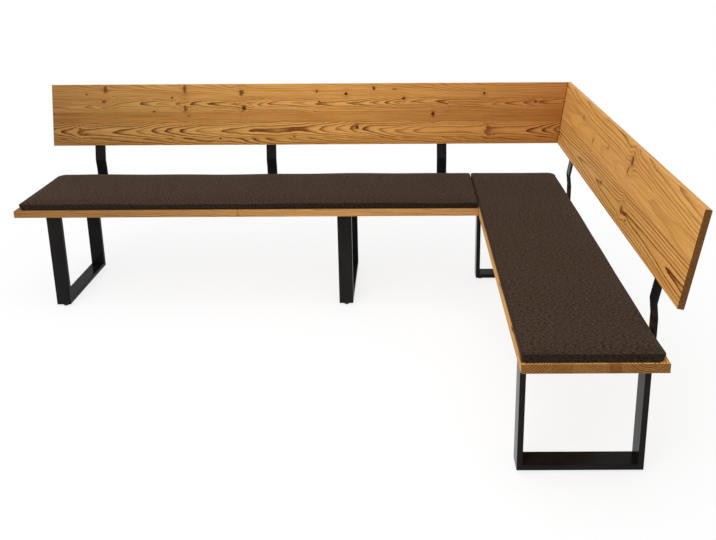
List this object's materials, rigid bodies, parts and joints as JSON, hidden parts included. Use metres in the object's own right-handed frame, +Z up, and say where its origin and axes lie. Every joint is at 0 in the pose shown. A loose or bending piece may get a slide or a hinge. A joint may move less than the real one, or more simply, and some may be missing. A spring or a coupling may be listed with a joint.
{
  "type": "corner bench",
  "caption": "L-shaped pine corner bench with a mitred leaning backrest on bent steel brackets, black tube skids and loose fabric seat pads.",
  "frame": {"origin": "on the floor, under the middle of the whole bench's box", "axes": "+X along the long side towards the corner, +Y from the sitter's side to the long backrest, +Z up"},
  "size_m": [2.3984, 1.5614, 0.8884],
  "materials": {
    "oiled_pine": "oiled",
    "black_steel": "satin powder coat",
    "zinc_steel": "zinc plated",
    "black_screw": "black oxide",
    "black_plastic": "matte",
    "beech_dowel": "raw",
    "brown_fabric": "melange weave",
    "pale_foam": "open cell foam"
  },
  "bodies": {
    "bench": {"left_skid_front_post": "black_steel", "left_skid_rear_post": "black_steel", "left_skid_floor_rail": "black_steel", "left_skid_top_plate": "black_steel", "middle_skid_front_post": "black_steel", "middle_skid_rear_post": "black_steel", "middle_skid_floor_rail": "black_steel", "middle_skid_top_plate": "black_steel", "corner_skid_front_post": "black_steel", "corner_skid_rear_post": "black_steel", "corner_skid_floor_rail": "black_steel", "corner_skid_top_plate": "black_steel", "end_skid_front_post": "black_steel", "end_skid_rear_post": "black_steel", "end_skid_floor_rail": "black_steel", "end_skid_top_plate": "black_steel", "left_backrest_bracket": "black_steel", "middle_backrest_bracket": "black_steel", "inner_backrest_bracket": "black_steel", "corner_backrest_bracket": "black_steel", "end_backrest_bracket": "black_steel", "long_seat_board": "oiled_pine", "short_seat_board": "oiled_pine", "long_backrest_board": "oiled_pine", "short_backrest_board": "oiled_pine", "skid_screws": "black_screw", "bracket_foot_screws": "black_screw", "bracket_arm_screws": "black_screw", "foot_rivet_nuts": "zinc_steel", "seat_joint_plates": "zinc_steel", "seat_joint_screws": "black_screw", "mitre_dowels": "beech_dowel"},
    "long_pad": {"long_pad_cover": "brown_fabric", "long_pad_foam": "pale_foam"},
    "short_pad": {"short_pad_cover": "brown_fabric", "short_pad_foam": "pale_foam"},
    "left_skid_front_foot": {"left_skid_front_foot_glide": "black_plastic", "left_skid_front_foot_stud": "zinc_steel"},
    "left_skid_rear_foot": {"left_skid_rear_foot_glide": "black_plastic", "left_skid_rear_foot_stud": "zinc_steel"},
    "middle_skid_front_foot": {"middle_skid_front_foot_glide": "black_plastic", "middle_skid_front_foot_stud": "zinc_steel"},
    "middle_skid_rear_foot": {"middle_skid_rear_foot_glide": "black_plastic", "middle_skid_rear_foot_stud": "zinc_steel"},
    "corner_skid_front_foot": {"corner_skid_front_foot_glide": "black_plastic", "corner_skid_front_foot_stud": "zinc_steel"},
    "corner_skid_rear_foot": {"corner_skid_rear_foot_glide": "black_plastic", "corner_skid_rear_foot_stud": "zinc_steel"},
    "end_skid_front_foot": {"end_skid_front_foot_glide": "black_plastic", "end_skid_front_foot_stud": "zinc_steel"},
    "end_skid_rear_foot": {"end_skid_rear_foot_glide": "black_plastic", "end_skid_rear_foot_stud": "zinc_steel"}
  },
  "joints": [
    {"name": "left_skid_front_foot_screw_out", "type": "slide", "parent": "bench", "child": "left_skid_front_foot", "axis": [0, 0, -1], "range_m": [0, 0.008]},
    {"name": "left_skid_rear_foot_screw_out", "type": "slide", "parent": "bench", "child": "left_skid_rear_foot", "axis": [0, 0, -1], "range_m": [0, 0.008]},
    {"name": "middle_skid_front_foot_screw_out", "type": "slide", "parent": "bench", "child": "middle_skid_front_foot", "axis": [0, 0, -1], "range_m": [0, 0.008]},
    {"name": "middle_skid_rear_foot_screw_out", "type": "slide", "parent": "bench", "child": "middle_skid_rear_foot", "axis": [0, 0, -1], "range_m": [0, 0.008]},
    {"name": "corner_skid_front_foot_screw_out", "type": "slide", "parent": "bench", "child": "corner_skid_front_foot", "axis": [0, 0, -1], "range_m": [0, 0.008]},
    {"name": "corner_skid_rear_foot_screw_out", "type": "slide", "parent": "bench", "child": "corner_skid_rear_foot", "axis": [0, 0, -1], "range_m": [0, 0.008]},
    {"name": "end_skid_front_foot_screw_out", "type": "slide", "parent": "bench", "child": "end_skid_front_foot", "axis": [0, 0, -1], "range_m": [0, 0.008]},
    {"name": "end_skid_rear_foot_screw_out", "type": "slide", "parent": "bench", "child": "end_skid_rear_foot", "axis": [0, 0, -1], "range_m": [0, 0.008]},
    {"name": "long_pad_lift", "type": "slide", "parent": "bench", "child": "long_pad", "axis": [0, 0, 1], "range_m": [0, 0.3]},
    {"name": "short_pad_lift", "type": "slide", "parent": "bench", "child": "short_pad", "axis": [0, 0, 1], "range_m": [0, 0.3]}
  ]
}
